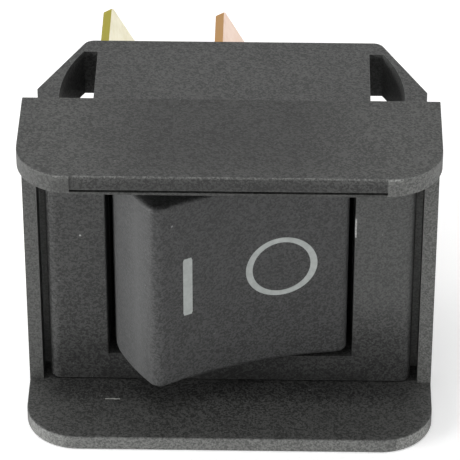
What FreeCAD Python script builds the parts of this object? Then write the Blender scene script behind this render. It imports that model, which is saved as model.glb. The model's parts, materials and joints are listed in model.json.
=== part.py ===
import FreeCAD, Part
import math
import os

import Sketcher

# A panel rocker switch with a guard frame, two poles, in millimetres.
# The frame: X to the right, Y into the panel, Z up, face towards -Y.
# The origin is the middle of the panel cut-out, on the panel's front.

SIZES = [
    # guard frame
    ("frame_width", 33.0),
    ("frame_height", 26.7),
    ("ring_depth", 3.4),
    ("guard_reach", 11.0),
    ("guard_wall", 1.25),
    ("guard_corner", 4.3),
    ("strip_wall", 1.12),
    ("ledge_wall", 1.2),
    ("ledge_width", 0.75),
    ("edge_softening", 0.1),
    ("front_setback", 0.12),
    ("lip_height", 0.25),
    ("rib_height", 0.22),
    ("groove_height", 0.22),
    ("groove_depth", 0.6),
    ("relief_depth", 0.3),
    ("relief_gap", 0.22),
    # front panel and body of the housing
    ("panel_side_gap", 0.58),
    ("panel_end_gap", 0.1),
    ("panel_rounding", 0.9),
    ("body_width", 22.2),
    ("flange_height", 2.35),
    ("body_depth", 12.2),
    ("body_wall", 1.2),
    ("opening_width", 19.9),
    ("opening_rim", 1.55),
    ("opening_depth", 1.0),
    ("opening_rounding", 0.12),
    # snap-in wings
    ("wing_height", 4.05),
    ("wing_span", 31.36),
    ("wing_shoulder", 24.0),
    ("shoulder_rounding", 0.9),
    ("wing_root", 1.7),
    ("wing_wall", 1.81),
    ("pocket_taper", 0.4116),
    ("pocket_curve", 13.3),
    ("pocket_curve_end", 4.6),
    ("wing_tip_rear", 4.8),
    ("wing_tip_front", 3.3),
    ("wing_lead", 0.14),
    ("wing_nose_gap", 0.9),
    ("wing_nose_inset", 1.18),
    # rocker, which turns about an upright axis
    ("pivot_ahead", 1.1),
    ("rocker_radius", 9.5),
    ("rocker_end_gap", 0.65),
    ("crest_radius", 9.8),
    ("crest_angle", 55.2),
    ("crest_rounding", 1.0),
    ("rim_rounding", 0.4),
    ("end_radius", 18.0),
    ("face_radius", 34.0),
    ("rocker_tilt", 19.1),
    ("skirt_front", 0.13),
    ("skirt_rear", 3.6),
    ("rocker_wall", 1.5),
    ("face_wall", 1.6),
    ("trunnion_radius", 1.5),
    ("trunnion_reach", 1.4),
    ("running_clearance", 0.05),
    # legs that press the contact arms
    ("leg_offset", 4.54),
    ("leg_length", 7.0),
    ("leg_wall", 1.5),
    ("leg_inset", 0.2),
    # detent plunger in the rocker's middle post
    ("post_radius", 2.2),
    ("post_length", 5.2),
    ("bore_floor", 1.76),
    ("plunger_radius", 1.3),
    ("plunger_back", 2.2),
    ("plunger_reach", 8.9),
    ("detent_coil_radius", 0.95),
    ("detent_wire_radius", 0.15),
    ("detent_pitch", 1.0),
    # base and the trough that the plunger rides in
    ("base_wall", 1.6),
    ("base_clearance", 0.05),
    ("trough_gap", 0.15),
    ("tower_width", 10.4),
    ("tower_wall", 3.2),
    ("peg_radius", 0.65),
    ("peg_height", 0.7),
    # terminals, one row above the tower and one below it
    ("row_wall_gap", 0.15),
    ("row_tower_gap", 0.75),
    ("common_offset", 0.2),
    ("terminal_pitch", 9.5),
    ("tab_shoulder", 0.5),
    ("tab_wall", 0.8),
    ("common_tab_length", 8.2),
    ("switched_tab_length", 8.6),
    ("tab_twist", 29.0),
    ("twist_start", 0.3),
    ("twist_length", 1.8),
    ("tab_bevel", 0.3),
    ("tab_hole_radius", 0.85),
    ("tab_hole_place", 4.4),
    ("fork_prong", 1.35),
    ("fork_reach", 2.0),
    ("shelf_inset", 0.65),
    ("shelf_reach", 3.4),
    ("shelf_rounding", 1.0),
    # contact arms and contacts
    ("arm_wall", 0.35),
    ("arm_length", 9.1),
    ("arm_play", 0.1),
    ("arm_rounding", 1.4),
    ("knuckle_angle", 25.0),
    ("lip_angle", 10.0),
    ("contact_radius", 1.5),
    ("contact_offset", 7.8),
    ("moving_contact_height", 0.85),
    ("fixed_contact_height", 0.75),
    ("contact_gap", 0.05),
    ("contact_bevel", 0.2),
    ("arm_coil_offset", 3.5),
    ("arm_coil_radius", 1.0),
    ("arm_wire_radius", 0.125),
    ("arm_pitch", 1.0),
]

# What follows from the sizes above, as spreadsheet formulas.
WORKED_OUT = [
    ("frame_side", "frame_width / 2"),
    ("frame_top", "frame_height / 2"),
    ("guard_inside", "frame_top - guard_wall"),
    ("guard_straight", "frame_side - guard_corner"),
    ("rib_low", "guard_inside - lip_height - rib_height"),
    ("panel_side", "frame_side - strip_wall - panel_side_gap"),
    ("panel_top", "guard_inside - panel_end_gap"),
    ("body_height", "frame_height - 2 * flange_height"),
    ("body_side", "body_width / 2"),
    ("body_top", "body_height / 2"),
    ("opening_height", "body_height - 2 * opening_rim"),
    ("rocker_height", "opening_height - 2 * rocker_end_gap"),
    ("base_inside", "body_depth - base_wall"),
    ("wing_side", "wing_span / 2"),
    ("wing_nose_out", "wing_side - wing_nose_inset"),
    ("pocket_width", "wing_side - wing_wall - body_side"),
    ("pocket_top", "pocket_width * pocket_taper"),
    ("relief_side", "max(wing_side; panel_side - ledge_width) + relief_gap"),
    # the space of one row of terminals, from the tower to the housing's wall
    ("row_low", "tower_wall / 2 + row_tower_gap"),
    ("row_high", "body_top - body_wall - row_wall_gap"),
    ("row_offset", "(row_low + row_high) / 2"),
    ("shoulder_width", "row_high - row_low"),
    ("tab_width", "shoulder_width - 2 * tab_shoulder"),
    ("shelf_width", "tab_width - 2 * shelf_inset"),
    ("arm_width", "shoulder_width - 2 * (fork_prong + arm_play)"),
    ("leg_width", "arm_width - 2 * leg_inset"),
    ("crest_side", "crest_radius * sin(crest_angle)"),
    ("crest_front", "crest_radius * cos(crest_angle)"),
    ("skirt_side", "sqrt(rocker_radius ^ 2 - skirt_front ^ 2)"),
    ("skirt_rear_side", "sqrt(rocker_radius ^ 2 - skirt_rear ^ 2)"),
    ("face_sag", "face_radius - sqrt(face_radius ^ 2 - crest_side ^ 2)"),
    ("hollow_front", "face_wall + face_sag - crest_front"),
    ("trough_radius", "plunger_reach + trough_gap"),
    ("tower_front", "sqrt(trough_radius ^ 2 - (tower_width / 2) ^ 2) - pivot_ahead"),
    ("shelf_front", "base_inside - tab_wall"),
    ("knuckle_inner", "tab_wall / 2 + running_clearance"),
    ("knuckle_outer", "knuckle_inner + arm_wall"),
    ("hinge_depth", "shelf_front - fixed_contact_height - contact_gap"
                    " - moving_contact_height + knuckle_inner"),
    ("hinge_inside", "body_depth - hinge_depth"),
    ("shelf_inside", "body_depth - shelf_front"),
    # where the leg's round end stands when the arm is open, seen from the arm's hinge
    ("leg_arm", "sqrt(leg_offset ^ 2 + leg_length ^ 2)"),
    ("leg_angle", "atan2(leg_length; leg_offset) - rocker_tilt * 1 deg"),
    ("leg_side", "common_offset + leg_arm * cos(leg_angle)"),
    ("leg_front", "hinge_depth + pivot_ahead - leg_arm * sin(leg_angle)"),
    ("leg_seat", "knuckle_outer + leg_wall / 2 + running_clearance"),
    ("arm_swing", "atan2(leg_front; leg_side)"
                  " - asin(leg_seat / sqrt(leg_side ^ 2 + leg_front ^ 2))"),
    # the arm's back, open, over the side of its spring that is nearer to the hinge
    ("coil_edge", "arm_coil_offset - arm_coil_radius - arm_wire_radius"),
    ("coil_front", "hinge_depth - knuckle_inner / cos(arm_swing)"
                   " - coil_edge * tan(arm_swing)"),
    ("coil_height", "base_inside - coil_front - 2 * arm_wire_radius - running_clearance"),
]

SIDES = {"upper": 1, "lower": -1}
FLAT = 1e-6

doc = FreeCAD.newDocument("rocker_switch")


# Spreadsheet

def fill_sheet():
    sheet = doc.addObject("Spreadsheet::Sheet", "Sizes")
    for row, (name, value) in enumerate(SIZES, start=1):
        sheet.set("A%d" % row, name)
        sheet.set("B%d" % row, str(value))
        sheet.setAlias("B%d" % row, name)
    for row, (name, formula) in enumerate(WORKED_OUT, start=len(SIZES) + 1):
        sheet.set("A%d" % row, name)
        sheet.set("B%d" % row, "=" + formula)
        sheet.setAlias("B%d" % row, name)
    doc.recompute()
    return sheet


SHEET = fill_sheet()
NAMES = sorted((name for name, _ in SIZES + WORKED_OUT), key=len, reverse=True)


def bound(text):
    """The same expression with each size's name pointing at the sheet."""
    out = []
    word = ""
    for letter in text + " ":
        if letter.isalnum() or letter == "_":
            word += letter
            continue
        out.append("Sizes." + word if word in NAMES else word)
        out.append(letter)
        word = ""
    return "".join(out).strip()


def worth(text):
    """The number that an expression has now."""
    value = SHEET.evalExpression(bound(text))
    return float(getattr(value, "Value", value))


# Bodies and sketches

def new_body(label):
    body = doc.addObject("PartDesign::Body", label)
    body.Label = label
    return body


def place(body, x="0", y="0", z="0", turn="0"):
    """Stands a body at x, y, z, turned about the upright axis."""
    body.Placement = FreeCAD.Placement(
        FreeCAD.Vector(worth(x), worth(y), worth(z)),
        FreeCAD.Rotation(FreeCAD.Vector(0, 0, 1), worth(turn)))
    for axis, text in (("x", x), ("y", y), ("z", z)):
        body.setExpression("Placement.Base." + axis, bound(text))
    body.setExpression("Placement.Rotation.Angle", bound(turn))


def new_sketch(body, name, role, height="0", turn=None, turn_axis=(0, 0, 1)):
    """A sketch on one of the body's own origin planes, moved along the plane's normal."""
    sketch = body.newObject("Sketcher::SketchObject", name)
    support = [f for f in body.Origin.OriginFeatures if f.Role == role][0]
    sketch.AttachmentSupport = [(support, "")]
    sketch.MapMode = "FlatFace"
    sketch.setExpression("AttachmentOffset.Base.z", bound(height))
    if turn:
        sketch.AttachmentOffset = FreeCAD.Placement(
            FreeCAD.Vector(0, 0, worth(height)),
            FreeCAD.Rotation(FreeCAD.Vector(*turn_axis), worth(turn)))
        sketch.setExpression("AttachmentOffset.Rotation.Angle", bound(turn))
    return sketch


def fix_point(sketch, edge, end, x, y):
    for kind, text in (("DistanceX", x), ("DistanceY", y)):
        index = sketch.addConstraint(Sketcher.Constraint(kind, edge, end, worth(text)))
        sketch.setExpression("Constraints[%d]" % index, bound(text))


def bowed(start, end, radius):
    """The arc from start to end that bows to the right of the way, or to the left if negative."""
    along = end - start
    half = along.Length / 2
    away = (radius * radius - half * half) ** 0.5
    left = FreeCAD.Vector(-along.y, along.x, 0).normalize()
    centre = (start + end) / 2 + left * (away if radius > 0 else -away)
    first, last = (start, end) if radius > 0 else (end, start)
    angles = [math.atan2(p.y - centre.y, p.x - centre.x) for p in (first, last)]
    round_edge = Part.Circle(centre, FreeCAD.Vector(0, 0, 1), abs(radius))
    return Part.ArcOfCircle(round_edge, angles[0], angles[1])


def outline(sketch, points):
    """A closed outline. A point is x, y and, where an arc leads on from it, that arc's radius."""
    places = [FreeCAD.Vector(worth(p[0]), worth(p[1]), 0) for p in points]
    ends = []
    for i, point in enumerate(points):
        start, stop = places[i], places[(i + 1) % len(points)]
        if len(point) == 2:
            sketch.addGeometry(Part.LineSegment(start, stop))
            ends.append((1, 2))
            continue
        bow = worth(point[2])
        sketch.addGeometry(bowed(start, stop, bow))
        ends.append((1, 2) if bow > 0 else (2, 1))
        radius = sketch.addConstraint(Sketcher.Constraint("Radius", i, abs(bow)))
        sketch.setExpression("Constraints[%d]" % radius, bound("abs(%s)" % point[2]))
    for i, point in enumerate(points):
        fix_point(sketch, i, ends[i][0], point[0], point[1])
        before = i - 1 if i else len(points) - 1
        sketch.addConstraint(Sketcher.Constraint("Coincident", before, ends[before][1], i, ends[i][0]))


def rectangle(sketch, left, right, low, high):
    outline(sketch, [(left, low), (right, low), (right, high), (left, high)])


def circle(sketch, x, y, radius):
    edge = sketch.addGeometry(Part.Circle(
        FreeCAD.Vector(worth(x), worth(y), 0), FreeCAD.Vector(0, 0, 1), worth(radius)))
    index = sketch.addConstraint(Sketcher.Constraint("Radius", edge, worth(radius)))
    sketch.setExpression("Constraints[%d]" % index, bound(radius))
    fix_point(sketch, edge, 3, x, y)


def extrude(body, kind, name, sketch, length):
    feature = body.newObject("PartDesign::" + kind, name)
    feature.Profile = sketch
    feature.setExpression("Length", bound(length))
    sketch.Visibility = False
    return feature


def add_along_y(body, name, draw, front, rear, turn=None):
    """Material from the plane y = front to the plane y = rear, on an outline of x and z."""
    sketch = new_sketch(body, name + "_sketch", "XZ_Plane", "-(%s)" % rear, turn)
    draw(sketch)
    return extrude(body, "Pad", name, sketch, "(%s) - (%s)" % (rear, front))


def cut_along_y(body, name, draw, front, rear, turn=None):
    sketch = new_sketch(body, name + "_sketch", "XZ_Plane", "-(%s)" % front, turn)
    draw(sketch)
    return extrude(body, "Pocket", name, sketch, "(%s) - (%s)" % (rear, front))


def add_along_z(body, name, draw, low, high):
    """Material from the plane z = low to the plane z = high, on an outline of x and y."""
    sketch = new_sketch(body, name + "_sketch", "XY_Plane", low)
    draw(sketch)
    return extrude(body, "Pad", name, sketch, "(%s) - (%s)" % (high, low))


def cut_along_z(body, name, draw, low, high):
    sketch = new_sketch(body, name + "_sketch", "XY_Plane", high)
    draw(sketch)
    return extrude(body, "Pocket", name, sketch, "(%s) - (%s)" % (high, low))


def box_xz(left, right, low, high):
    return lambda sketch: rectangle(sketch, left, right, low, high)


def centred(side, top):
    return box_xz("-(%s)" % side, side, "-(%s)" % top, top)


def round_xz(x, z, radius):
    return lambda sketch: circle(sketch, x, z, radius)


def drawn(points):
    return lambda sketch: outline(sketch, points)


def mirror_plane(body, role):
    return ([f for f in body.Origin.OriginFeatures if f.Role == role][0], [""])


def dress(body, kind, name, size, wanted):
    """A fillet or chamfer on the edges of the body's tip that the test picks."""
    doc.recompute()
    base = body.Tip
    picked = ["Edge%d" % (i + 1) for i, e in enumerate(base.Shape.Edges) if wanted(e)]
    feature = body.newObject("PartDesign::" + kind, name)
    feature.Base = (base, picked)
    feature.setExpression("Radius" if kind == "Fillet" else "Size", bound(size))
    return feature


def near(value, target):
    return abs(value - target) < 1e-4


def runs_along(edge, axis):
    if len(edge.Vertexes) < 2 or not isinstance(edge.Curve, Part.Line):
        return False
    way = edge.Vertexes[1].Point - edge.Vertexes[0].Point
    return near(abs(getattr(way, axis)), way.Length)


# Guard frame: one moulding, a ring with a guard plate above and below

def make_guard_frame():
    body = new_body("guard_frame")
    add_along_y(body, "ring", centred("frame_side", "frame_top"), "-ring_depth", "0")
    guard = add_along_z(
        body, "guard", box_xz("-frame_side", "frame_side", "-guard_reach", "0"),
        "guard_inside", "frame_top")
    mirrored = body.newObject("PartDesign::Mirrored", "guard_below")
    mirrored.Originals = [guard]
    mirrored.MirrorPlane = mirror_plane(body, "XY_Plane")
    body.Tip = mirrored
    cut_along_y(body, "recess", centred("frame_side - strip_wall", "guard_inside"),
                "-ring_depth", "-ledge_wall")
    cut_along_y(body, "window", centred("panel_side - ledge_width", "panel_top - ledge_width"),
                "-ledge_wall", "0")
    cut_along_y(body, "relief", centred("relief_side", "panel_top - ledge_width"),
                "-relief_depth", "0")
    front = -worth("guard_reach")
    dress(body, "Fillet", "guard_corners", "guard_corner",
          lambda e: runs_along(e, "z") and near(e.CenterOfMass.y, front))
    add_along_z(body, "lip", drawn([
        ("-frame_side", "guard_corner - guard_reach", "guard_corner"),
        ("-guard_straight", "-guard_reach"),
        ("guard_straight", "-guard_reach", "guard_corner"),
        ("frame_side", "guard_corner - guard_reach"),
    ]), "guard_inside - lip_height", "guard_inside")
    add_along_z(body, "rib", box_xz("-guard_straight", "guard_straight", "-guard_reach",
                                    "guard_corner - guard_reach"),
                "rib_low", "guard_inside - lip_height")
    cut_along_z(body, "groove", box_xz("-guard_straight", "guard_straight", "-guard_reach",
                                       "groove_depth - guard_reach"),
                "guard_inside - groove_height", "guard_inside")
    side = worth("frame_side")
    top = worth("frame_top")
    inside = worth("guard_inside")
    low = worth("rib_low")
    flat_front = worth("front_setback - guard_reach")
    ring = -worth("ring_depth")

    def level(edge):
        heights = {round(abs(v.Point.z), 4) for v in edge.Vertexes}
        return heights.pop() if len(heights) == 1 else 0.0

    def guard_edge(edge):
        middle = edge.CenterOfMass
        if near(level(edge), top):
            return middle.y < -FLAT
        if not near(level(edge), inside) or middle.y > ring - FLAT:
            return False
        return middle.z < 0 or (runs_along(edge, "y") and near(abs(middle.x), side))

    dress(body, "Fillet", "guard_edges", "edge_softening", guard_edge)
    cut_along_z(body, "flat_front", box_xz("-guard_straight", "guard_straight", "-guard_reach",
                                           "front_setback - guard_reach"),
                "rib_low", "frame_top")
    dress(body, "Fillet", "flat_edges", "edge_softening",
          lambda e: runs_along(e, "x") and near(e.CenterOfMass.y, flat_front)
          and (near(e.CenterOfMass.z, top) or near(e.CenterOfMass.z, low)))
    return body


# Housing: front panel, body open to the rear and four snap-in wings, one moulding

def make_housing():
    body = new_body("housing")
    add_along_y(body, "front_panel", centred("panel_side", "panel_top"), "-ring_depth", "-ledge_wall")
    add_along_y(body, "shell", centred("body_side", "body_top"), "-ledge_wall", "body_depth")
    wing = add_along_z(body, "wing", drawn([
        ("body_side - body_wall / 2", "body_depth"),
        ("body_side - body_wall / 2", "body_depth - wing_root"),
        ("body_side + pocket_top", "body_depth - wing_root", "-pocket_curve"),
        ("body_side + pocket_width", "pocket_curve_end"),
        ("body_side + pocket_width", "wing_nose_gap"),
        ("wing_nose_out", "wing_nose_gap"),
        ("wing_side - wing_lead", "wing_tip_front"),
        ("wing_side", "wing_tip_rear"),
        ("wing_shoulder / 2", "body_depth"),
    ]), "body_top - wing_height", "body_top")
    wings = body.newObject("PartDesign::MultiTransform", "wings")
    wings.Originals = [wing]
    body.Tip = wings
    turns = []
    for name, role in (("wings_left", "YZ_Plane"), ("wings_below", "XY_Plane")):
        mirrored = body.newObject("PartDesign::Mirrored", name)
        mirrored.MirrorPlane = mirror_plane(body, role)
        turns.append(mirrored)
    wings.Transformations = turns
    body.Tip = wings
    cut_along_y(body, "inside", centred("body_side - body_wall", "body_top - body_wall"),
                "opening_depth", "body_depth")
    cut_along_y(body, "rocker_opening", centred("opening_width / 2", "opening_height / 2"),
                "-ring_depth", "opening_depth")
    reach = "rocker_height / 2 + trunnion_reach + running_clearance"
    cut_along_z(body, "trunnion_sockets",
                round_xz("0", "-pivot_ahead", "trunnion_radius + running_clearance"),
                "-(%s)" % reach, reach)
    side = worth("panel_side")
    top = worth("panel_top")
    front = -worth("ring_depth")
    dress(body, "Fillet", "panel_sides", "panel_rounding",
          lambda e: runs_along(e, "z") and near(abs(e.CenterOfMass.x), side)
          and near(e.CenterOfMass.y, front))
    dress(body, "Chamfer", "panel_ends", "edge_softening",
          lambda e: runs_along(e, "x") and near(abs(e.CenterOfMass.z), top)
          and near(e.CenterOfMass.y, front))
    wall = worth("opening_width / 2")
    dress(body, "Fillet", "opening_sides", "opening_rounding",
          lambda e: runs_along(e, "z") and near(abs(e.CenterOfMass.x), wall)
          and near(e.CenterOfMass.y, front))
    shoulder = worth("wing_shoulder / 2")
    rear = worth("body_depth")
    dress(body, "Fillet", "shoulders", "shoulder_rounding",
          lambda e: runs_along(e, "z") and near(abs(e.CenterOfMass.x), shoulder)
          and near(e.CenterOfMass.y, rear))
    return body


# Base: closes the rear, carries the terminals and the detent trough

def make_base():
    body = new_body("base")
    add_along_y(body, "plate", centred("body_side - body_wall - base_clearance",
                                       "body_top - body_wall - base_clearance"),
                "base_inside", "body_depth")
    add_along_z(body, "tower", drawn([
        ("-tower_width / 2", "base_inside"),
        ("-tower_width / 2", "tower_front", "-trough_radius"),
        ("tower_width / 2", "tower_front"),
        ("tower_width / 2", "base_inside"),
    ]), "-tower_wall / 2", "tower_wall / 2")
    for side, sign in SIDES.items():
        row = "%d * row_offset" % sign
        add_along_y(body, "peg_" + side,
                    round_xz("common_offset - arm_coil_offset", row, "peg_radius"),
                    "base_inside - peg_height", "base_inside")
        for name, place_x in (("common", "common_offset"),
                              ("switched", "common_offset - terminal_pitch")):
            half = "(tab_wall / 2 + base_clearance)"
            tall = "(tab_width / 2 + base_clearance)"
            cut_along_y(body, "slot_%s_%s" % (name, side),
                        box_xz("%s - %s" % (place_x, half), "%s + %s" % (place_x, half),
                               "%s - %s" % (row, tall), "%s + %s" % (row, tall)),
                        "base_inside", "body_depth")
    return body


# Rocker: a hollow moulding with trunnions, two legs and a middle post.
# It is drawn level about its own axis, and stands tilted to its OFF stop.

def on_rocker(body):
    place(body, y="-pivot_ahead", turn="rocker_tilt")


def make_rocker():
    body = new_body("rocker")
    half = "rocker_height / 2"
    trunnion = half + " + trunnion_reach"
    add_along_z(body, "rocker_block", drawn([
        ("skirt_rear_side", "skirt_rear"),
        ("-skirt_rear_side", "skirt_rear", "rocker_radius"),
        ("-skirt_side", "skirt_front", "end_radius"),
        ("-crest_side", "-crest_front", "-face_radius"),
        ("crest_side", "-crest_front", "end_radius"),
        ("skirt_side", "skirt_front", "rocker_radius"),
    ]), "-(%s)" % half, half)
    side = worth("crest_side")
    dress(body, "Fillet", "crests", "crest_rounding",
          lambda e: runs_along(e, "z") and near(abs(e.CenterOfMass.x), side))
    top = worth(half)
    skirt = worth("skirt_rear")
    dress(body, "Fillet", "rocker_rims", "rim_rounding",
          lambda e: near(abs(e.CenterOfMass.z), top) and e.CenterOfMass.y < skirt - FLAT)
    add_along_z(body, "trunnions", round_xz("0", "0", "trunnion_radius"),
                "-(%s)" % trunnion, trunnion)
    cut_along_y(body, "hollow", centred("skirt_side - rocker_wall", half + " - rocker_wall"),
                "hollow_front", "post_length")
    add_along_y(body, "post", round_xz("0", "0", "post_radius"), "hollow_front", "post_length")
    bore_front = "hollow_front + bore_floor"
    cut_along_y(body, "post_bore", round_xz("0", "0", "plunger_radius + running_clearance"),
                bore_front, "post_length")
    for side_name, sign in SIDES.items():
        row = "%d * row_offset" % sign
        add_along_y(body, "leg_" + side_name,
                    box_xz("-leg_offset - leg_wall / 2", "-leg_offset + leg_wall / 2",
                           row + " - leg_width / 2", row + " + leg_width / 2"),
                    "hollow_front", "leg_length + leg_wall / 2")
    tip = worth("leg_length + leg_wall / 2")
    dress(body, "Fillet", "leg_ends", "leg_wall * 0.49",
          lambda e: runs_along(e, "z") and near(e.CenterOfMass.y, tip))
    on_rocker(body)


# Detent plunger and its spring, both in the rocker's post

def make_detent_plunger():
    body = new_body("detent_plunger")
    sketch = new_sketch(body, "plunger_sketch", "XY_Plane")
    outline(sketch, [
        ("0", "plunger_back"),
        ("plunger_radius", "plunger_back"),
        ("plunger_radius", "plunger_reach - plunger_radius", "plunger_radius"),
        ("0", "plunger_reach"),
    ])
    pin = body.newObject("PartDesign::Revolution", "plunger_pin")
    pin.Profile = sketch
    pin.ReferenceAxis = (sketch, ["V_Axis"])
    pin.Angle = 360
    on_rocker(body)


def add_coil(body, name, coil_radius, wire_radius, pitch, start, height):
    """A square wire wound about the body's y axis, its middle line from start onwards."""
    sketch = new_sketch(body, name + "_sketch", "XY_Plane")
    outline(sketch, [("%s + %s * cos(%d)" % (coil_radius, wire_radius, turn),
                      "%s + %s * sin(%d)" % (start, wire_radius, turn)) for turn in range(45, 405, 90)])
    coil = body.newObject("PartDesign::AdditiveHelix", name)
    coil.Profile = sketch
    coil.ReferenceAxis = (sketch, ["V_Axis"])
    coil.Mode = 0
    coil.setExpression("Pitch", bound(pitch))
    coil.setExpression("Height", bound(height))


def make_detent_spring():
    body = new_body("detent_spring")
    floor = "hollow_front + bore_floor"
    add_coil(body, "detent_coil", "detent_coil_radius", "detent_wire_radius", "detent_pitch",
             floor + " + detent_wire_radius",
             "plunger_back - (%s) - 2 * detent_wire_radius" % floor)
    on_rocker(body)


# Terminals: a blade held in the base, with a twisted tab behind it

def add_tab(body, length):
    """The tab, from the base's rear face at y = 0; its twist locks the blade in its slot."""
    section = centred("tab_wall / 2", "tab_width / 2")
    add_along_y(body, "tab_root", section, "0", "twist_start")
    stages = []
    for step, share in enumerate(("0", "0.5", "1")):
        sketch = new_sketch(
            body, "twist_sketch_%d" % step, "XZ_Plane",
            "-(twist_start + %s * twist_length)" % share, share + " * tab_twist")
        section(sketch)
        stages.append(sketch)
    twist = body.newObject("PartDesign::AdditiveLoft", "tab_twisted")
    twist.Profile = stages[0]
    twist.Sections = stages[1:]
    add_along_y(body, "tab_flat", section, "twist_start + twist_length", length, "tab_twist")
    end = worth(length)
    thickness = worth("tab_wall")
    dress(body, "Chamfer", "tab_bevels", "tab_bevel",
          lambda e: near(e.CenterOfMass.y, end) and near(e.Length, thickness))
    hole = new_sketch(body, "tab_hole_sketch", "YZ_Plane", "tab_wall / 2", "-tab_twist", (1, 0, 0))
    circle(hole, "tab_hole_place", "0", "tab_hole_radius")
    extrude(body, "Pocket", "tab_hole", hole, "tab_wall")


def make_common_terminal(side, row):
    """Ends inside in a fork; the arm's knuckle rocks on the rounded edge between its prongs."""
    body = new_body("common_terminal_" + side)
    edge = "-hinge_inside - tab_wall / 2"
    add_along_y(body, "blade", centred("tab_wall / 2", "shoulder_width / 2"),
                edge + " - fork_reach", "-base_wall")
    cut_along_y(body, "fork", centred("tab_wall", "arm_width / 2 + arm_play"),
                edge + " - fork_reach", edge)
    level = worth(edge)
    half = worth("shoulder_width / 2")
    dress(body, "Fillet", "rocking_edge", "tab_wall * 0.37",
          lambda e: runs_along(e, "z") and near(e.CenterOfMass.y, level) and e.Length < 2 * half - FLAT)
    add_along_y(body, "neck", centred("tab_wall / 2", "tab_width / 2"), "-base_wall", "0")
    add_tab(body, "common_tab_length")
    place(body, "common_offset", "body_depth", row)


def make_switched_terminal(side, row):
    """Bent inside into a shelf, which lies on the base and carries the fixed contact."""
    body = new_body("switched_terminal_" + side)
    add_along_y(body, "shelf", box_xz("-tab_wall / 2", "shelf_reach",
                                      "-shelf_width / 2", "shelf_width / 2"),
                "-shelf_inside", "-base_wall")
    reach = worth("shelf_reach")
    dress(body, "Fillet", "shelf_corners", "shelf_rounding",
          lambda e: runs_along(e, "y") and near(e.CenterOfMass.x, reach))
    add_along_y(body, "neck", centred("tab_wall / 2", "tab_width / 2"), "-base_wall", "0")
    add_tab(body, "switched_tab_length")
    place(body, "common_offset - terminal_pitch", "body_depth", row)


# Contact arms, their springs and the contact buttons

def on_arm(body, row):
    place(body, "common_offset", "hinge_depth", row, "arm_swing")


def make_contact_arm(side, row):
    """A stamped arm, drawn closed: it reaches left from a knuckle about the body's origin."""
    body = new_body("contact_arm_" + side)
    lip = "knuckle_inner * sin(lip_angle)"
    add_along_z(body, "arm_strip", drawn([
        ("-arm_length", "-knuckle_outer"),
        ("0", "-knuckle_outer", "knuckle_outer"),
        ("knuckle_outer * cos(knuckle_angle)", "-knuckle_outer * sin(knuckle_angle)"),
        ("knuckle_inner * cos(knuckle_angle)", "-knuckle_inner * sin(knuckle_angle)", "-knuckle_inner"),
        ("-knuckle_inner * cos(lip_angle)", "-" + lip),
        ("-knuckle_outer", "-" + lip),
        ("-knuckle_outer", "-knuckle_inner"),
        ("-arm_length", "-knuckle_inner"),
    ]), "-arm_width / 2", "arm_width / 2")
    tip = -worth("arm_length")
    dress(body, "Fillet", "arm_tip", "min(arm_rounding; arm_width * 0.45)",
          lambda e: runs_along(e, "y") and near(e.CenterOfMass.x, tip))
    on_arm(body, row)


def make_contact(label, x, front, rear, face):
    """A round contact button with a bevelled rim on its working face."""
    body = new_body(label)
    add_along_y(body, "button", round_xz(x, "0", "contact_radius"), front, rear)
    level = worth(face)
    dress(body, "Chamfer", "button_rim", "contact_bevel",
          lambda e: near(e.CenterOfMass.y, level) and len(e.Vertexes) < 2)
    return body


def make_moving_contact(side, row):
    rear = "moving_contact_height - knuckle_inner"
    body = make_contact("moving_contact_" + side, "-contact_offset", "-knuckle_inner", rear, rear)
    on_arm(body, row)


def make_fixed_contact(side, row):
    body = make_contact("fixed_contact_" + side, "0", "-fixed_contact_height", "0",
                        "-fixed_contact_height")
    place(body, "common_offset - contact_offset", "shelf_front", row)


def make_arm_spring(side, row):
    body = new_body("arm_spring_" + side)
    add_coil(body, "arm_coil", "arm_coil_radius", "arm_wire_radius", "arm_pitch",
             "-coil_height - arm_wire_radius", "coil_height")
    place(body, "common_offset - arm_coil_offset", "base_inside", row)


# Checks and files

def check_objects():
    for thing in doc.Objects:
        if "Invalid" in thing.State or "Error" in thing.State:
            raise ValueError("%s did not build: %s" % (thing.Name, thing.State))
        if thing.TypeId == "PartDesign::Pocket":
            if thing.Shape.Volume > thing.BaseFeature.Shape.Volume - FLAT:
                raise ValueError(thing.Name + " cuts nothing")


def write_parts():
    os.makedirs("parts", exist_ok=True)
    bodies = [o for o in doc.Objects if o.TypeId == "PartDesign::Body"]
    for body in bodies:
        if body.Shape.isNull() or not body.Shape.isValid() or len(body.Shape.Solids) != 1:
            raise ValueError(body.Label + " is not one valid solid")
    for body in bodies:
        body.Shape.exportStep("parts/%s.step" % body.Label)


def main():
    make_guard_frame()
    make_housing()
    make_base()
    make_rocker()
    make_detent_plunger()
    make_detent_spring()
    for side, sign in SIDES.items():
        row = "%d * row_offset" % sign
        make_common_terminal(side, row)
        make_switched_terminal(side, row)
        make_contact_arm(side, row)
        make_moving_contact(side, row)
        make_fixed_contact(side, row)
        make_arm_spring(side, row)
    doc.recompute()
    check_objects()
    write_parts()


main()
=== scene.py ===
import json
import math

import bmesh
import bpy
from mathutils import Matrix, Vector


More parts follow.
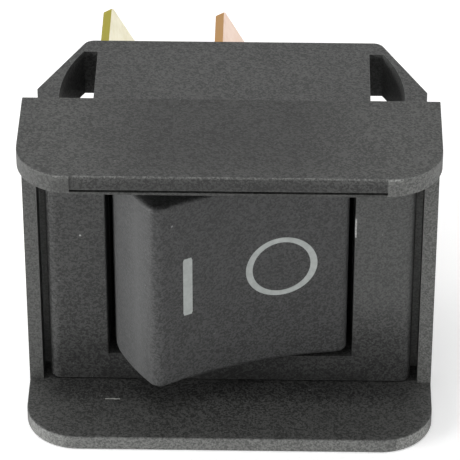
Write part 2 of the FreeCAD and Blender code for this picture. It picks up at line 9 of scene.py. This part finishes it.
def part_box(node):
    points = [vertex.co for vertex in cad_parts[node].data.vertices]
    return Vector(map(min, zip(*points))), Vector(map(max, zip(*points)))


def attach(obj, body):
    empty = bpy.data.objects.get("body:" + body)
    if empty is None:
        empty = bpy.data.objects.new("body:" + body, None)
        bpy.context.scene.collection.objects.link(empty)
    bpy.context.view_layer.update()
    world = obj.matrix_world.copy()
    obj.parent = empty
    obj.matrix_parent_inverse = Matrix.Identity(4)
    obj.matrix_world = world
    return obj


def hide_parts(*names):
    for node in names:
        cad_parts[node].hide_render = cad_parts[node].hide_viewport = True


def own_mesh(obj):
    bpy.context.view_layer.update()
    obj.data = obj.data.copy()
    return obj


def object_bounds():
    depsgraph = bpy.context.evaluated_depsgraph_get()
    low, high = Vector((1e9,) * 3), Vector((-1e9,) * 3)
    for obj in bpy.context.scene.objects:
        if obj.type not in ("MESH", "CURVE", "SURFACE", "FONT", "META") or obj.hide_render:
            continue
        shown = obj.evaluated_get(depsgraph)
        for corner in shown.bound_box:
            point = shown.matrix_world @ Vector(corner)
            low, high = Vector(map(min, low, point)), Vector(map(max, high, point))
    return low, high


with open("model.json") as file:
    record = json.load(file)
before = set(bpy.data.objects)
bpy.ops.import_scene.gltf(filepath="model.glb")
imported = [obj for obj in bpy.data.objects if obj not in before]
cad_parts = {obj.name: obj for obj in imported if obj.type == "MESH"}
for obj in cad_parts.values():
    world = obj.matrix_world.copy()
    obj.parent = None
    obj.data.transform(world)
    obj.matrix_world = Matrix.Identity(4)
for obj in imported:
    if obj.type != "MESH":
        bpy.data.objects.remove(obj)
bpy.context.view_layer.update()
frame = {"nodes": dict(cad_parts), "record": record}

# X runs to the right, Y into the panel and Z up. The scene is in metres.
MM = 0.001
FORWARD = (0.0, -1.0, 0.0)
WHITE = (1.0, 1.0, 1.0, 1.0)
NODES = frame["nodes"]

# The rocker's hinge, and how far it leans at rest, where it is switched off
PIVOT = Vector((0.0, -1.1, 0.0)) * MM
OFF_TILT = math.radians(19.1)


# Shader nodes


def new_material(name):
    material = bpy.data.materials.new(name)
    material.use_nodes = True
    return material, material.node_tree


def add(tree, kind, **settings):
    node = tree.nodes.new(kind)
    for key, value in settings.items():
        setattr(node, key, value)
    return node


def object_coords(tree):
    return add(tree, "ShaderNodeTexCoord").outputs["Object"]


def mapped(tree, coords, setting, value):
    """The coordinates moved or stretched."""
    node = add(tree, "ShaderNodeMapping")
    node.inputs[setting].default_value = value
    tree.links.new(coords, node.inputs["Vector"])
    return node.outputs["Vector"]


def noise(tree, coords, scale, detail=2.0, roughness=0.5):
    node = add(tree, "ShaderNodeTexNoise")
    node.inputs["Scale"].default_value = scale
    node.inputs["Detail"].default_value = detail
    node.inputs["Roughness"].default_value = roughness
    tree.links.new(coords, node.inputs["Vector"])
    return node.outputs["Fac"]


def grains(tree, coords, size):
    """The fine grains of a spark-eroded mould: a random tone for each, and its rounded height."""
    node = add(tree, "ShaderNodeTexVoronoi")
    node.inputs["Scale"].default_value = 1.0 / size
    tree.links.new(coords, node.inputs["Vector"])
    split = add(tree, "ShaderNodeSeparateColor")
    tree.links.new(node.outputs["Color"], split.inputs["Color"])
    return split.outputs["Red"], node.outputs["Distance"]


def remap(tree, value, low, high, new_low, new_high):
    node = add(tree, "ShaderNodeMapRange")
    tree.links.new(value, node.inputs["Value"])
    ends = {"From Min": low, "From Max": high, "To Min": new_low, "To Max": new_high}
    for name, number in ends.items():
        node.inputs[name].default_value = number
    return node.outputs["Result"]


def mix_colours(tree, factor, first, second):
    node = add(tree, "ShaderNodeMix", data_type="RGBA")
    tree.links.new(factor, node.inputs["Factor"])
    for name, colour in (("A", first), ("B", second)):
        socket = [s for s in node.inputs if s.name == name and s.type == "RGBA"][0]
        if isinstance(colour, tuple):
            socket.default_value = colour + (1.0,)
        else:
            tree.links.new(colour, socket)
    return [s for s in node.outputs if s.type == "RGBA"][0]


def combine(tree, operation, first, second):
    node = add(tree, "ShaderNodeMath", operation=operation)
    for socket, value in zip(node.inputs, (first, second)):
        if isinstance(value, (int, float)):
            socket.default_value = value
        else:
            tree.links.new(value, socket)
    return node.outputs["Value"]


def product(tree, first, *others):
    for other in others:
        first = combine(tree, "MULTIPLY", first, other)
    return first


def blend_tones(tree, *tones):
    """The sum of some tones, each a pair of a value and its share."""
    total = None
    for value, share in tones:
        part = combine(tree, "MULTIPLY", value, share)
        total = part if total is None else combine(tree, "ADD", total, part)
    return total


def dot_product(tree, direction, other):
    node = add(tree, "ShaderNodeVectorMath", operation="DOT_PRODUCT")
    tree.links.new(direction, node.inputs[0])
    if isinstance(other, tuple):
        node.inputs[1].default_value = other
    else:
        tree.links.new(other, node.inputs[1])
    return node.outputs["Value"]


def add_relief(tree, shader, height, strength, distance):
    bump = add(tree, "ShaderNodeBump")
    bump.inputs["Strength"].default_value = strength
    bump.inputs["Distance"].default_value = distance
    tree.links.new(height, bump.inputs["Height"])
    tree.links.new(bump.outputs["Normal"], shader.inputs["Normal"])


# Masks, 1 at the place they are for and 0 away from it


def edge_mask(tree, radius):
    """The rim of a sharp or softened edge."""
    bevel = add(tree, "ShaderNodeBevel", samples=4)
    bevel.inputs["Radius"].default_value = radius
    face_normal = add(tree, "ShaderNodeNewGeometry").outputs["True Normal"]
    agreement = dot_product(tree, bevel.outputs["Normal"], face_normal)
    return remap(tree, agreement, 0.99, 0.80, 0.0, 1.0)


def facing(tree, direction, low, high):
    """Where the surface faces along the direction, in the piece's own space."""
    normal = add(tree, "ShaderNodeTexCoord").outputs["Normal"]
    return remap(tree, dot_product(tree, normal, direction), low, high, 0.0, 1.0)


def within(tree, coords, axis, low, high, fade):
    """Between two places along an axis of the piece, in mm, fading out over a short way."""
    split = add(tree, "ShaderNodeSeparateXYZ")
    tree.links.new(coords, split.inputs["Vector"])
    place = split.outputs[axis]
    rise = remap(tree, place, (low - fade) * MM, low * MM, 0.0, 1.0)
    fall = remap(tree, place, high * MM, (high + fade) * MM, 1.0, 0.0)
    return product(tree, rise, fall)


def at_front(x, z, fade=0.1):
    """The faces that look forward, between two places across and two heights, in mm,
    broken up a little by the grain."""

    def mask(tree, coords, speckle):
        ahead = facing(tree, FORWARD, 0.2, 0.5)
        up = within(tree, coords, "Z", *z, fade)
        across = within(tree, coords, "X", *x, fade)
        return product(tree, ahead, up, across, remap(tree, speckle, 0.35, 0.6, 0.55, 1.0))

    return mask


def patch(x, y, z, fade=0.05, whole=1.0):
    """One place, in mm along the three axes, such as a fleck or a darker stretch.
    It is broken up by the grain where less than the whole is asked."""

    def mask(tree, coords, speckle):
        across = within(tree, coords, "X", *x, fade)
        deep = within(tree, coords, "Y", *y, fade)
        up = within(tree, coords, "Z", *z, fade)
        return product(tree, across, deep, up, remap(tree, speckle, 0.42, 0.62, whole, 1.0))

    return mask


# Plastic

GRAIN_SIZE = 0.14 * MM
GRAIN_HEIGHT = 0.03 * MM
GRAIN_RELIEF = 0.6
SPECKLES_PER_GRAIN = 0.9
DRIFT_SCALE = 260.0
SPECKLE_SHARE = 0.55
DRIFT_SHARE = 0.13
GRAIN_SHARE = 0.32
TONE_RANGE = (0.40, 0.60)
ROUGHNESS_SPREAD = 0.08

# The contrast of the grain: weaker where the surface is made paler by painted light or a fleck,
# stronger where it is made darker by painted shade
PALER_GRAIN = 0.4
SHADED_GRAIN = 1.5
DARKEST = (0.004, 0.004, 0.004)

# Paler edges: partly wear, partly a painted highlight along the rims
EDGE_WEAR_AND_HIGHLIGHT_WIDTH = 0.12 * MM
EDGE_WEAR_AND_HIGHLIGHT_LIGHTER = 2.6
SPECK_SCALE = 2600.0
SPECK_RANGE = (0.79, 0.82)
SPECK_COVER = 0.3
SPECK_COLOUR = (0.30, 0.31, 0.30)


def painted_light_or_fleck_colour(tree, colour, dark, pale, lighter):
    """The colour made so many times lighter, with the contrast of its grain changed."""
    grain_kept = PALER_GRAIN if lighter > 1.0 else SHADED_GRAIN
    even_share = (1.0 - grain_kept) * lighter / 2.0
    evened = add(tree, "ShaderNodeVectorMath", operation="MULTIPLY_ADD")
    tree.links.new(colour, evened.inputs[0])
    evened.inputs[1].default_value = (grain_kept * lighter,) * 3
    evened.inputs[2].default_value = tuple(even_share * (a + b) for a, b in zip(dark, pale))
    limited = add(tree, "ShaderNodeVectorMath", operation="MAXIMUM")
    tree.links.new(evened.outputs["Vector"], limited.inputs[0])
    limited.inputs[1].default_value = DARKEST
    return limited.outputs["Vector"]


def plastic(name, dark, pale, rough, seed, edge_wear_and_highlight_share=0.5, painted_light_and_flecks=()):
    """Spark-textured black plastic: a speckle, a slow drift of tone, edges made paler by wear and by a
    painted highlight, a few specks.
    Each entry of painted light and flecks is a mask of the surface, and how many times lighter it is
    there, or darker below 1: painted light, painted shade or a fleck."""
    material, tree = new_material(name)
    shader = tree.nodes["Principled BSDF"]
    place = object_coords(tree)
    coords = mapped(tree, place, "Location", (seed, seed * 0.7, -seed))
    speckle = noise(tree, coords, SPECKLES_PER_GRAIN / GRAIN_SIZE, roughness=0.6)
    drift = noise(tree, coords, DRIFT_SCALE)
    each, height = grains(tree, coords, GRAIN_SIZE)
    tone = blend_tones(tree, (speckle, SPECKLE_SHARE), (drift, DRIFT_SHARE), (each, GRAIN_SHARE))
    colour = mix_colours(tree, remap(tree, tone, *TONE_RANGE, 0.0, 1.0), dark, pale)
    # painted light, painted shade and flecks, each over its own mask
    for mask, lighter in painted_light_and_flecks:
        painted_or_flecked = painted_light_or_fleck_colour(tree, colour, dark, pale, lighter)
        colour = mix_colours(tree, mask(tree, place, speckle), colour, painted_or_flecked)
    # edges made paler: partly wear, partly a painted highlight
    broken_up = remap(tree, drift, 0.3, 0.7, 0.25, 0.9)
    edge_wear_and_highlight = product(tree, edge_mask(tree, EDGE_WEAR_AND_HIGHLIGHT_WIDTH), broken_up, edge_wear_and_highlight_share)
    colour = mix_colours(tree, edge_wear_and_highlight, colour, tuple(EDGE_WEAR_AND_HIGHLIGHT_LIGHTER * c for c in pale))
    dots = noise(tree, coords, SPECK_SCALE, detail=1.0)
    specks = remap(tree, dots, *SPECK_RANGE, 0.0, SPECK_COVER)
    colour = mix_colours(tree, specks, colour, SPECK_COLOUR)
    tree.links.new(colour, shader.inputs["Base Color"])
    spread = (rough - ROUGHNESS_SPREAD, rough + ROUGHNESS_SPREAD)
    tree.links.new(remap(tree, speckle, 0.3, 0.7, *spread), shader.inputs["Roughness"])
    bumps = combine(tree, "ADD", speckle, height)
    add_relief(tree, shader, bumps, GRAIN_RELIEF, GRAIN_HEIGHT)
    return material


# Metal and paint

STREAK_STRETCH = (1.0, 0.08, 1.0)
STREAK_SCALE = 9000.0
STREAK_SHARE = 0.4
STREAK_HEIGHT = 0.01 * MM
STREAK_RELIEF = 0.15
PATCH_SCALE = 420.0
PATCH_SHARE = 0.6
COVER_SCALE = 2400.0

# The direction square to the twisted blades' broad faces
TWIST = math.radians(29.0)
BLADE = (math.cos(TWIST), 0.0, math.sin(TWIST))


def metal(name, bright, dull, rough, cut=None):
    """Rolled sheet or wire: fine streaks, dull patches, and a blade's cut edges in their own colour."""
    material, tree = new_material(name)
    shader = tree.nodes["Principled BSDF"]
    shader.inputs["Metallic"].default_value = 1.0
    coords = object_coords(tree)
    stretched = mapped(tree, coords, "Scale", STREAK_STRETCH)
    streaks = noise(tree, stretched, STREAK_SCALE, detail=3.0)
    patches = noise(tree, coords, PATCH_SCALE, detail=4.0, roughness=0.6)
    tone = blend_tones(tree, (streaks, STREAK_SHARE), (patches, PATCH_SHARE))
    colour = mix_colours(tree, remap(tree, tone, 0.38, 0.64, 0.0, 1.0), bright, dull)
    if cut:
        normal = add(tree, "ShaderNodeNewGeometry").outputs["True Normal"]
        across = add(tree, "ShaderNodeMath", operation="ABSOLUTE")
        tree.links.new(dot_product(tree, normal, BLADE), across.inputs[0])
        on_edge = remap(tree, across.outputs["Value"], 0.35, 0.6, 1.0, 0.0)
        colour = mix_colours(tree, on_edge, colour, cut)
    tree.links.new(colour, shader.inputs["Base Color"])
    finish = remap(tree, tone, 0.35, 0.65, rough - 0.07, rough + 0.1)
    tree.links.new(finish, shader.inputs["Roughness"])
    add_relief(tree, shader, streaks, STREAK_RELIEF, STREAK_HEIGHT)
    return material


def paint(name, light, edge_wear_and_highlight, rough):
    """Pad print or smooth light plastic: nearly even, a little thinner here and there."""
    material, tree = new_material(name)
    shader = tree.nodes["Principled BSDF"]
    cover = noise(tree, object_coords(tree), COVER_SCALE, detail=3.0, roughness=0.6)
    colour = mix_colours(tree, remap(tree, cover, 0.35, 0.7, 0.0, 1.0), light, edge_wear_and_highlight)
    tree.links.new(colour, shader.inputs["Base Color"])
    finish = remap(tree, cover, 0.3, 0.7, rough - 0.05, rough + 0.05)
    tree.links.new(finish, shader.inputs["Roughness"])
    return material


# Painted light, painted shade and flecks on the plastic: places made paler and darker to bring it near
# the photo's tones

# How much paler the flecks are, and the painted glint on the opening's rim
FLECK_AND_GLINT_LIGHTER = 9.0
LOWER_EDGE = (-13.6, -12.2)
UPPER_EDGE = (11.4, 13.6)
BETWEEN_GUARDS = (-12.0, 11.4)
LEDGE_FRONT = (-1.3, -1.1)
LEDGE_HEIGHT = (-12.0, 12.0)
ROCKER_DEPTH = (-12.0, 6.0)
ROCKER_HEIGHT = (-9.0, 9.0)

FRAME_PAINTED_LIGHT_AND_FLECKS = (
    # painted light: the front edge of the lower guard made paler, its middle and its two corners, the
    # right one most
    (at_front((-13.1, 13.5), LOWER_EDGE), 4.0),
    (at_front((-17.0, -13.2), LOWER_EDGE), 4.8),
    (at_front((13.6, 17.0), LOWER_EDGE), 7.5),
    # painted light: the corner blocks of the upper guard made paler, the right one more
    (at_front((-17.0, -12.2), UPPER_EDGE), 1.8),
    (at_front((12.2, 17.0), UPPER_EDGE), 3.8),
    # painted light: the strips beside the housing's front, and the ledges deep in the gaps, made paler,
    # more on the right
    (at_front((-17.0, -14.8), BETWEEN_GUARDS), 2.2),
    (at_front((14.8, 17.0), BETWEEN_GUARDS), 3.0),
    (patch((-16.4, -14.0), LEDGE_FRONT, LEDGE_HEIGHT), 3.6),
    (patch((14.0, 16.4), LEDGE_FRONT, LEDGE_HEIGHT), 4.6),
    # the upper guard: painted shade over the middle of its plate and down its flat front, and a painted
    # highlight along its top edge
    (patch((-6.0, 5.0), (-8.5, 0.5), (13.2, 13.4), fade=7.0), 0.42),
    (at_front((-13.3, 13.3), (12.3, 12.6), fade=0.4), 0.55),
    (patch((-13.4, 13.4), (-11.1, -10.82), (13.21, 13.5), fade=0.04, whole=0.2), 3.0),
    # the lower guard: painted shade in its inner corner, and a pale dash on its plate
    (patch((-14.0, 14.0), (-5.0, -3.0), (-12.2, -12.0), fade=1.5), 0.55),
    (patch((-10.15, -9.0), (-6.02, -5.94), (-12.3, -11.9)), FLECK_AND_GLINT_LIGHTER),
)
HOUSING_PAINTED_LIGHT_AND_FLECKS = (
    # the front panel: painted light on the right, and painted shade low down and under the rocker
    (at_front((10.5, 15.4), (-4.0, 12.2), fade=3.0), 2.0),
    (at_front((-16.0, 16.0), (-13.0, -9.5), fade=3.0), 0.55),
    (at_front((-10.0, 11.0), (-12.1, -11.4), fade=0.8), 0.5),
    # a painted glint, a white sliver on the opening's right rim, and a white dot left of the opening
    (patch((9.8, 10.06), (-3.6, -2.4), (2.55, 4.35)), FLECK_AND_GLINT_LIGHTER),
    (patch((-12.05, -11.95), (-3.6, -3.2), (2.4, 2.5)), FLECK_AND_GLINT_LIGHTER),
)
ROCKER_PAINTED_LIGHT_AND_FLECKS = (
    # painted light on the raised end and a painted highlight on its crest, and a white dot on the face
    (patch((-12.0, -7.3), ROCKER_DEPTH, ROCKER_HEIGHT, fade=0.8), 1.75),
    (patch((-7.4, -6.4), ROCKER_DEPTH, ROCKER_HEIGHT, fade=0.5), 1.5),
    (patch((-4.5, -4.4), (-9.0, -5.0), (6.8, 6.9)), FLECK_AND_GLINT_LIGHTER),
)

MATERIALS = {
    "frame_plastic": plastic("frame_plastic", (0.016, 0.0165, 0.0155), (0.072, 0.073, 0.070),
                             0.56, seed=0.11, painted_light_and_flecks=FRAME_PAINTED_LIGHT_AND_FLECKS),
    "housing_plastic": plastic("housing_plastic", (0.016, 0.0165, 0.016), (0.068, 0.069, 0.067),
                               0.58, seed=0.37, painted_light_and_flecks=HOUSING_PAINTED_LIGHT_AND_FLECKS),
    "rocker_plastic": plastic("rocker_plastic", (0.016, 0.0163, 0.0163), (0.062, 0.063, 0.063),
                              0.54, seed=0.53, edge_wear_and_highlight_share=0.15, painted_light_and_flecks=ROCKER_PAINTED_LIGHT_AND_FLECKS),
    "base_plastic": plastic("base_plastic", (0.016, 0.016, 0.016), (0.062, 0.062, 0.061),
                            0.62, seed=0.71),
    "plunger_plastic": paint("plunger_plastic", (0.72, 0.70, 0.63), (0.60, 0.58, 0.52), 0.35),
    "brass": metal("brass", (0.86, 0.82, 0.63), (0.78, 0.73, 0.52), 0.36, (0.44, 0.39, 0.05)),
    "copper": metal("copper", (0.86, 0.67, 0.56), (0.78, 0.58, 0.46), 0.36, (0.55, 0.31, 0.12)),
    "contact_silver": metal("contact_silver", (0.86, 0.86, 0.84), (0.70, 0.70, 0.68), 0.25),
    "spring_steel": metal("spring_steel", (0.60, 0.60, 0.61), (0.45, 0.45, 0.46), 0.30),
}
MARK_PAINT = paint("mark_paint", (0.56, 0.59, 0.575), (0.46, 0.49, 0.475), 0.55)

slots = {entry["node"]: entry["material_slot"] for entry in frame["record"]["subparts"]}
for name, node in NODES.items():
    node.data.materials.clear()
    node.data.materials.append(MATERIALS[slots[name]])


# Printed marks on the rocker's hollow face

ALONG = Vector((math.cos(OFF_TILT), math.sin(OFF_TILT), 0.0))
OUTWARD = Vector((math.sin(OFF_TILT), -math.cos(OFF_TILT), 0.0))
UP = Vector((0.0, 0.0, 1.0))
PRINT_HEIGHT = 0.02 * MM
CLEAR_OF_ROCKER = 20.0 * MM
BAR_STEPS = 24
RING_STEPS = 96


def on_face(along, up, lift):
    """The point of the rocker's face at these places along it and up it, in mm, lifted off it."""
    start = PIVOT + ALONG * (along * MM) + UP * (up * MM) + OUTWARD * CLEAR_OF_ROCKER
    hit, place, _, _ = NODES["rocker"].ray_cast(start, -OUTWARD)
    if not hit:
        raise RuntimeError("a mark misses the rocker's face")
    return place + OUTWARD * lift


def new_piece(name, vertices, faces, material, body):
    mesh = bpy.data.meshes.new(name)
    mesh.from_pydata([tuple(v) for v in vertices], [], faces)
    build = bmesh.new()
    build.from_mesh(mesh)
    bmesh.ops.recalc_face_normals(build, faces=build.faces)
    build.to_mesh(mesh)
    build.free()
    mesh.materials.append(material)
    piece = bpy.data.objects.new(name, mesh)
    bpy.context.scene.collection.objects.link(piece)
    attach(piece, body)


def printed_strip(name, rows, closed):
    """A thin raised strip. Each row is a pair of places on the face, one on each side of it."""
    vertices = []
    for row in rows:
        for along, up in row:
            vertices.append(on_face(along, up, PRINT_HEIGHT))
            vertices.append(on_face(along, up, -PRINT_HEIGHT))
    faces = []
    count = len(rows)
    for i in range(count if closed else count - 1):
        a = 4 * i
        b = 4 * ((i + 1) % count)
        faces += [(a, b, b + 2, a + 2), (a + 1, a + 3, b + 3, b + 1)]
        faces += [(a, a + 1, b + 1, b), (a + 2, b + 2, b + 3, a + 3)]
    if not closed:
        last = 4 * (count - 1)
        faces += [(0, 2, 3, 1), (last, last + 1, last + 3, last + 2)]
    new_piece(name, vertices, faces, MARK_PAINT, "rocker_body")


def bar_rows(centre, height, width, corner):
    """Rows up a bar with softened corners."""
    rows = []
    for step in range(BAR_STEPS + 1):
        up = height * (step / BAR_STEPS - 0.5)
        over = max(0.0, abs(up) - (height / 2.0 - corner))
        half = width / 2.0 - corner + math.sqrt(max(0.0, corner**2 - over**2))
        rows.append(((centre[0] - half, centre[1] + up), (centre[0] + half, centre[1] + up)))
    return rows


def ring_rows(centre, outer, stroke):
    """Rows round an oval ring. Its outer half size and its stroke are each across and up."""
    rows = []
    inner = (outer[0] - stroke[0], outer[1] - stroke[1])
    for step in range(RING_STEPS):
        turn = 2.0 * math.pi * step / RING_STEPS
        across = math.cos(turn)
        up = math.sin(turn)
        rows.append(tuple((centre[0] + size[0] * across, centre[1] + size[1] * up)
                          for size in (outer, inner)))
    return rows


ON_BAR = bar_rows(centre=(-5.21, 0.55), height=5.5, width=0.80, corner=0.08)
OFF_RING = ring_rows(centre=(2.70, 0.57), outer=(2.93, 2.80), stroke=(0.55, 0.45))
printed_strip("mark_on", ON_BAR, closed=False)
printed_strip("mark_off", OFF_RING, closed=True)


# A dark bead that fills the seam between the housing and the base: painted shade, a piece that keeps
# the seam dark by blocking light through the gap

SEAM_FRONT = 11.75 * MM
SEAM_BACK = 12.05 * MM
SEAM_REACH = 0.08 * MM


def painted_shade_seam_bead():
    """A thin four-sided ring that reaches a little inside and outside the base's rim, a dark piece that
    stands in for the seam's shade.
    """
    low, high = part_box("base")
    half = ((high[0] - low[0]) / 2.0, (high[2] - low[2]) / 2.0)
    corners = ((-1.0, -1.0), (1.0, -1.0), (1.0, 1.0), (-1.0, 1.0))
    vertices = []
    for reach in (-SEAM_REACH, SEAM_REACH):
        for depth in (SEAM_FRONT, SEAM_BACK):
            for x, z in corners:
                vertices.append((x * (half[0] + reach), depth, z * (half[1] + reach)))
    inside_front, inside_back, outside_front, outside_back = 0, 4, 8, 12
    walls = ((inside_front, inside_back), (outside_back, outside_front),
             (inside_back, outside_back), (outside_front, inside_front))
    faces = []
    for i in range(4):
        j = (i + 1) % 4
        for a, b in walls:
            faces.append((a + i, a + j, b + j, b + i))
    new_piece("base_seam_painted_shade", vertices, faces, MATERIALS["base_plastic"], "switch_body")


painted_shade_seam_bead()


# Springs. A copy of each coil stands for the rigid solid, which is hidden.

ROW_HEIGHT = 6.0


def working_spring(node, body):
    piece = bpy.data.objects.new(node + "_coil", NODES[node].data.copy())
    bpy.context.scene.collection.objects.link(piece)
    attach(piece, body)
    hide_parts(node)
    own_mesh(piece)


for side, height in (("upper", ROW_HEIGHT), ("lower", -ROW_HEIGHT)):
    working_spring("arm_spring_" + side, "switch_body")
working_spring("detent_spring", "rocker_body")


# Camera, light and floor, with places in metres

CAMERA_PLACE = (0.0042, -0.2208, 0.1584)
CAMERA_LENS = 262.23
CAMERA_SENSOR = 36.0
CAMERA_TURN = math.radians(1.111)
CAMERA_DIP = math.radians(35.527)
LIGHT_AIM = Vector((0.0, 0.0, 0.0))
WORLD_FILL = 0.065
WORLD_IN_GLOSS = 0.82
FLOOR_GLOW = 0.42
FLOOR_GRAIN = 900.0
FLOOR_TONES = ((0.80, 0.80, 0.80), (0.84, 0.84, 0.84))
FLOOR_HALF_SIZE = 1.5
FLOOR_GAP = 0.05 * MM


def set_camera():
    data = bpy.data.cameras.new("camera")
    data.lens = CAMERA_LENS
    data.sensor_width = CAMERA_SENSOR
    data.clip_start = 0.01
    camera = bpy.data.objects.new("camera", data)
    bpy.context.scene.collection.objects.link(camera)
    forward = Vector((-math.sin(CAMERA_TURN) * math.cos(CAMERA_DIP),
                      math.cos(CAMERA_TURN) * math.cos(CAMERA_DIP), -math.sin(CAMERA_DIP)))
    right = Vector((math.cos(CAMERA_TURN), math.sin(CAMERA_TURN), 0.0))
    up = right.cross(forward)
    axes = Matrix((right, up, -forward)).transposed().to_4x4()
    camera.matrix_world = Matrix.Translation(CAMERA_PLACE) @ axes
    bpy.context.scene.camera = camera


def panel_light(name, place, size, power):
    lamp = bpy.data.lights.new(name, "AREA")
    lamp.shape = "RECTANGLE"
    lamp.size, lamp.size_y = size
    lamp.energy = power
    light = bpy.data.objects.new(name, lamp)
    light.location = place
    light.rotation_euler = (LIGHT_AIM - Vector(place)).to_track_quat("-Z", "Y").to_euler()
    bpy.context.scene.collection.objects.link(light)


def seen_by(tree, *kinds):
    """1 for light rays of these kinds, 0 for others."""
    path = add(tree, "ShaderNodeLightPath")
    seen = path.outputs[kinds[0]]
    for kind in kinds[1:]:
        seen = combine(tree, "MAXIMUM", seen, path.outputs[kind])
    return seen


def set_world():
    """White where it is looked at, nearly so in reflections, and a weak fill for the rest."""
    world = bpy.data.worlds.new("studio")
    world.use_nodes = True
    tree = world.node_tree
    background = tree.nodes["Background"]
    background.inputs["Color"].default_value = WHITE
    seen = seen_by(tree, "Is Camera Ray", "Is Transmission Ray")
    mirrored = product(tree, seen_by(tree, "Is Glossy Ray"), WORLD_IN_GLOSS)
    strength = combine(tree, "MAXIMUM", combine(tree, "MAXIMUM", seen, mirrored), WORLD_FILL)
    tree.links.new(strength, background.inputs["Strength"])
    bpy.context.scene.world = world


def floor_material():
    material, tree = new_material("floor_white")
    shader = tree.nodes["Principled BSDF"]
    shader.inputs["Roughness"].default_value = 0.9
    shader.inputs["Specular IOR Level"].default_value = 0.1
    paper = noise(tree, object_coords(tree), FLOOR_GRAIN, detail=3.0)
    colour = mix_colours(tree, paper, *FLOOR_TONES)
    tree.links.new(colour, shader.inputs["Base Color"])
    seen = seen_by(tree, "Is Camera Ray", "Is Glossy Ray", "Is Transmission Ray")
    shader.inputs["Emission Color"].default_value = WHITE
    tree.links.new(product(tree, seen, FLOOR_GLOW), shader.inputs["Emission Strength"])
    return material


def set_floor():
    mesh = bpy.data.meshes.new("floor")
    build = bmesh.new()
    bmesh.ops.create_grid(build, x_segments=8, y_segments=8, size=FLOOR_HALF_SIZE)
    build.to_mesh(mesh)
    build.free()
    floor = bpy.data.objects.new("floor", mesh)
    floor.location = (0.0, 0.0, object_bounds()[0][2] - FLOOR_GAP)
    bpy.context.scene.collection.objects.link(floor)
    mesh.materials.append(floor_material())


set_camera()
panel_light("top_light", (-0.05, -0.02, 0.55), (0.5, 0.4), 2.25)
panel_light("left_light", (-0.50, -0.22, 0.16), (0.3, 0.3), 2.75)
panel_light("right_light", (0.50, -0.20, 0.14), (0.3, 0.3), 0.7)
set_world()
set_floor()
bpy.context.scene.view_settings.view_transform = "Standard"
